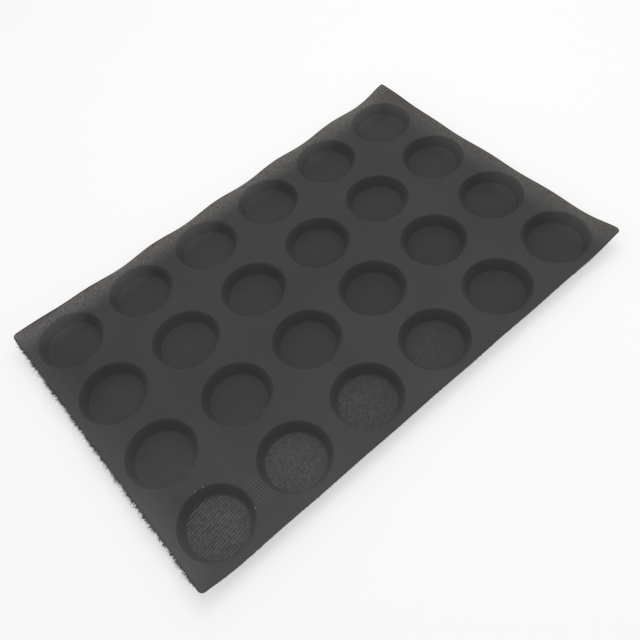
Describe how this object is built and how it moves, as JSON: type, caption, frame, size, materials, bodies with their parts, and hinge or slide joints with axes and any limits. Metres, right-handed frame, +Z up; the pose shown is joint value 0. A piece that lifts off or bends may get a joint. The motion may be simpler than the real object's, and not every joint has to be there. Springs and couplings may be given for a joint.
{
  "type": "silicone round cavity mould",
  "caption": "Flexible rectangular baking mould sheet with a grid of shallow round cups and a softly curled cut edge.",
  "frame": {"origin": "on the surface that the mould rests on, under the middle of the cup pattern", "axes": "+X along the long edge, +Y across the sheet, +Z up, out of the open cups"},
  "size_m": [0.6002, 0.4002, 0.0245],
  "materials": {
    "sheet": "matt dark grey silicone on woven glass cloth, with the weave showing through"
  },
  "bodies": {
    "root": {"cup_sheet": "sheet"}
  },
  "joints": []
}
